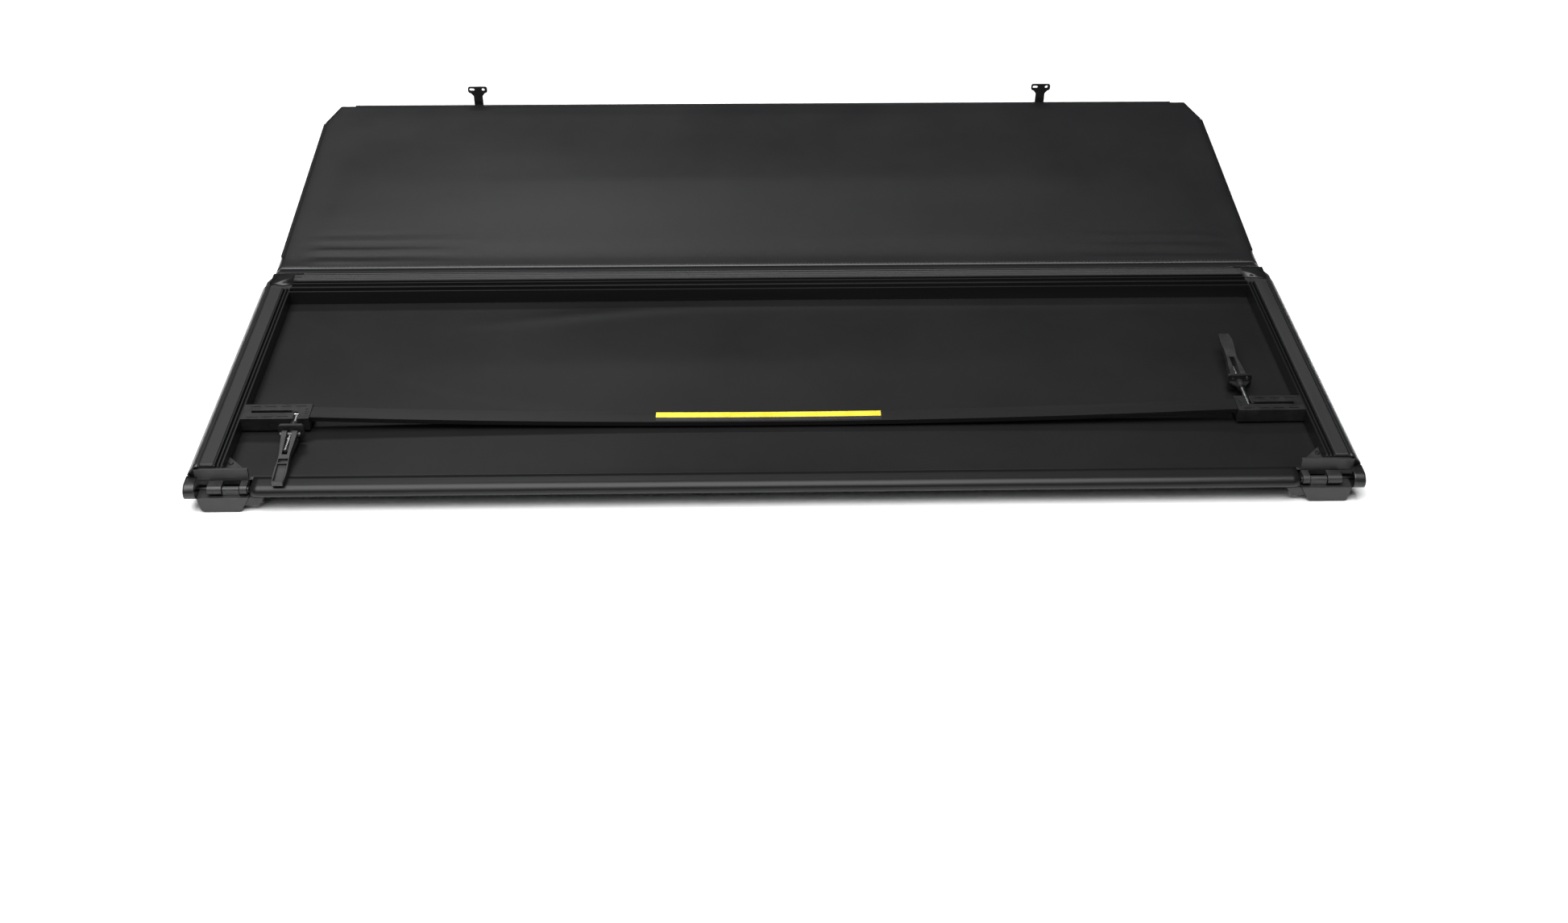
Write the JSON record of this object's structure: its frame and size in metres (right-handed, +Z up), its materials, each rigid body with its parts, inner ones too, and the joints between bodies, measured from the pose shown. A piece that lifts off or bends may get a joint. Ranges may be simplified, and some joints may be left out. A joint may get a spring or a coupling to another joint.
{
  "type": "tonneau cover",
  "caption": "Soft folding tonneau cover for a pickup bed, part folded: hinged vinyl panels on slim rails, bows, cam clamps and cab hooks.",
  "frame": {"origin": "centre of the bounding box at the level that the middle panel's seals rest on", "axes": "+X across the truck, +Y from the folded edge to the cab end, +Z up"},
  "size_m": [1.64, 1.1908, 0.0929],
  "materials": {
    "vinyl": "satin grained vinyl",
    "rail": "satin black powder coat",
    "moulding": "moulded black plastic",
    "lever_plastic": "glass-filled black plastic",
    "seal": "satin rubber",
    "zinc": "bright zinc plate",
    "black_steel": "black coated steel",
    "strip": "plain yellow film"
  },
  "bodies": {
    "middle_panel": {"middle_skin": "vinyl", "middle_left_rail": "rail", "middle_right_rail": "rail", "middle_bow": "rail", "middle_bow_sockets": "moulding", "middle_side_seals": "seal", "middle_hinge_blocks": "moulding", "middle_side_lugs": "moulding", "middle_link_ears": "moulding", "fold_vinyl": "vinyl"},
    "tail_panel": {"tail_skin": "vinyl", "tail_left_rail": "rail", "tail_right_rail": "rail", "tail_cross_rail": "rail", "tail_corners": "moulding", "tail_side_seals": "seal", "tail_edge_seal": "seal", "tail_bow": "rail", "left_clamp_bracket": "moulding", "right_clamp_bracket": "moulding", "tail_hinge_brackets": "moulding", "fold_pins": "zinc", "bow_strip": "strip", "hinge_screws": "zinc", "tail_corner_screws": "zinc"},
    "double_link": {"left_link": "black_steel", "right_link": "black_steel", "middle_link_pins": "black_steel", "front_link_pins": "black_steel", "link_vinyl": "vinyl"},
    "front_panel": {"front_skin": "vinyl", "front_skirt": "vinyl", "front_left_rail": "rail", "front_right_rail": "rail", "front_header_rail": "rail", "front_bow": "rail", "front_bow_sockets": "moulding", "front_corners": "moulding", "front_side_seals": "seal", "bulkhead_seal": "seal", "front_link_ears": "moulding", "cab_hook_brackets": "black_steel", "cab_hook_pins": "black_steel", "front_corner_screws": "zinc"},
    "left_bolt": {"left_clamp_bolt": "zinc", "left_clamp_barrel": "zinc", "left_clamp_nut": "zinc"},
    "left_jaw": {"left_clamp_jaw": "moulding"},
    "left_lever": {"left_clamp_lever": "lever_plastic"},
    "left_hook": {"left_cab_hook": "black_steel"},
    "right_bolt": {"right_clamp_bolt": "zinc", "right_clamp_barrel": "zinc", "right_clamp_nut": "zinc"},
    "right_jaw": {"right_clamp_jaw": "moulding"},
    "right_lever": {"right_clamp_lever": "lever_plastic"},
    "right_hook": {"right_cab_hook": "black_steel"}
  },
  "joints": [
    {"name": "tail_fold", "type": "hinge", "parent": "middle_panel", "child": "tail_panel", "pos_m": [0, -0.58338, 0.032], "axis": [1, 0, 0], "range_deg": [0, 178.8]},
    {"name": "link_fold", "type": "hinge", "parent": "middle_panel", "child": "double_link", "pos_m": [0, 0.00162, 0.0185], "axis": [1, 0, 0], "range_deg": [0, 90]},
    {"name": "front_fold", "type": "hinge", "parent": "double_link", "child": "front_panel", "pos_m": [0, 0.06362, 0.0185], "axis": [1, 0, 0], "range_deg": [0, 86.1]},
    {"name": "left_bolt_swing", "type": "hinge", "parent": "tail_panel", "child": "left_bolt", "pos_m": [-0.692, -0.43487, 0.05499], "axis": [-1, 0, 0], "range_deg": [0, 88]},
    {"name": "left_lever_cam", "type": "hinge", "parent": "left_bolt", "child": "left_lever", "pos_m": [-0.692, -0.48686, 0.05608], "axis": [-1, 0, 0], "range_deg": [0, 94]},
    {"name": "left_jaw_slide", "type": "slide", "parent": "left_bolt", "child": "left_jaw", "axis": [0, 0.9998, -0.0209], "range_m": [0, 0.0024]},
    {"name": "right_bolt_swing", "type": "hinge", "parent": "tail_panel", "child": "right_bolt", "pos_m": [0.692, -0.43487, 0.05499], "axis": [1, 0, 0], "range_deg": [0, 88]},
    {"name": "right_lever_cam", "type": "hinge", "parent": "right_bolt", "child": "right_lever", "pos_m": [0.692, -0.35888, 0.0534], "axis": [1, 0, 0], "range_deg": [0, 82]},
    {"name": "right_jaw_slide", "type": "slide", "parent": "right_bolt", "child": "right_jaw", "axis": [0, -0.9998, 0.0209], "range_m": [0, 0.0024]},
    {"name": "left_hook_swing", "type": "hinge", "parent": "front_panel", "child": "left_hook", "pos_m": [-0.54, 0.59138, 0.03995], "axis": [-1, 0, 0], "range_deg": [0, 180]},
    {"name": "right_hook_swing", "type": "hinge", "parent": "front_panel", "child": "right_hook", "pos_m": [0.522, 0.59138, 0.03995], "axis": [-1, 0, 0], "range_deg": [0, 180]}
  ],
  "couplings": [
    {"joint": "front_fold", "follows": "link_fold", "ratio": 0.95667},
    {"joint": "left_lever_cam", "follows": "left_jaw_slide", "rad_per_m": 683.53},
    {"joint": "right_lever_cam", "follows": "right_jaw_slide", "rad_per_m": 596.3}
  ]
}
